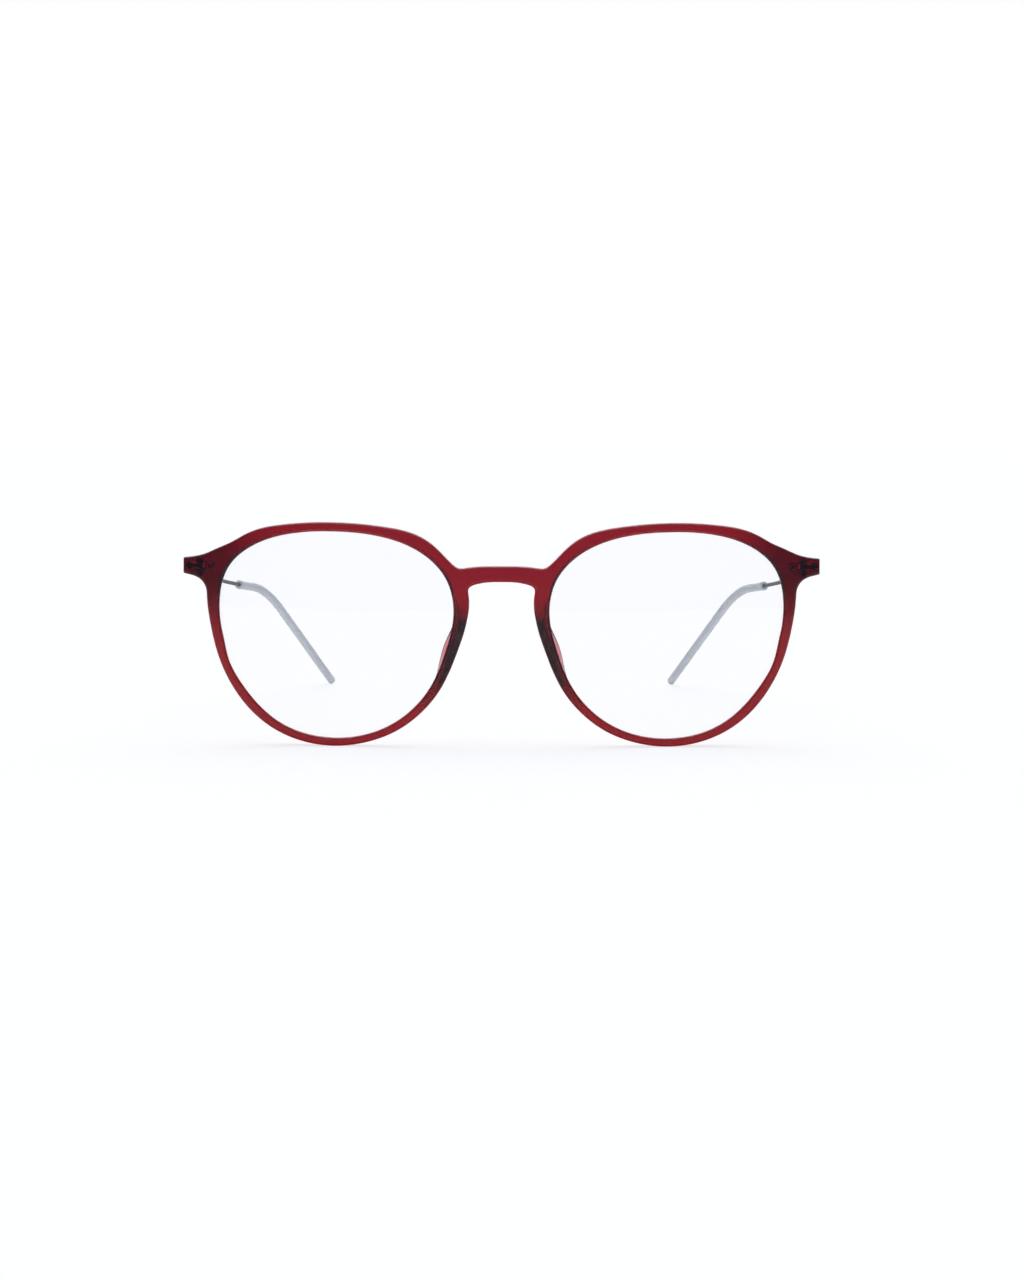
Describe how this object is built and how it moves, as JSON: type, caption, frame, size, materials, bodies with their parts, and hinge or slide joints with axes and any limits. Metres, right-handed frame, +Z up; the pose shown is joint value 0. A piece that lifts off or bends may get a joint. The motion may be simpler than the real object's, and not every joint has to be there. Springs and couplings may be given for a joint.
{
  "type": "eyeglasses",
  "caption": "Round eyeglasses with a translucent moulded front, keyhole bridge, clear lenses and thin folding wire temples with frosted sleeve tips.",
  "frame": {"origin": "middle of the whole as seen from above, on the table that the open glasses stand on", "axes": "+X to the wearer's left, +Y from the front back to the ears, +Z up"},
  "size_m": [0.1344, 0.142, 0.0471],
  "materials": {
    "front_plastic": "matte translucent wine red",
    "lens_plastic": "clear, polished and coated",
    "pad_plastic": "matte translucent wine red",
    "hinge_steel": "fine milled",
    "screw_steel": "turned",
    "washer_nylon": "natural nylon",
    "eye_steel": "dark plated",
    "temple_wire": "satin gunmetal",
    "tip_silicone": "frosted translucent silicone"
  },
  "bodies": {
    "front": {"front": "front_plastic", "lens_right": "lens_plastic", "lens_left": "lens_plastic", "nose_pad_right": "pad_plastic", "nose_pad_left": "pad_plastic", "hinge_anchor_right": "hinge_steel", "hinge_anchor_left": "hinge_steel", "hinge_screw_right": "screw_steel", "hinge_screw_left": "screw_steel", "hinge_washers_right": "washer_nylon", "hinge_washers_left": "washer_nylon"},
    "temple_right": {"temple_eye_right": "eye_steel", "temple_wire_right": "temple_wire", "temple_tip_right": "tip_silicone"},
    "temple_left": {"temple_eye_left": "eye_steel", "temple_wire_left": "temple_wire", "temple_tip_left": "tip_silicone"}
  },
  "joints": [
    {"name": "temple_left_fold", "type": "hinge", "parent": "front", "child": "temple_left", "pos_m": [0.06368, -0.05998, 0.03756], "axis": [0, 0, 1], "range_deg": [0, 82]},
    {"name": "temple_right_fold", "type": "hinge", "parent": "front", "child": "temple_right", "pos_m": [-0.06368, -0.05998, 0.03756], "axis": [0, 0, -1], "range_deg": [0, 78]}
  ]
}
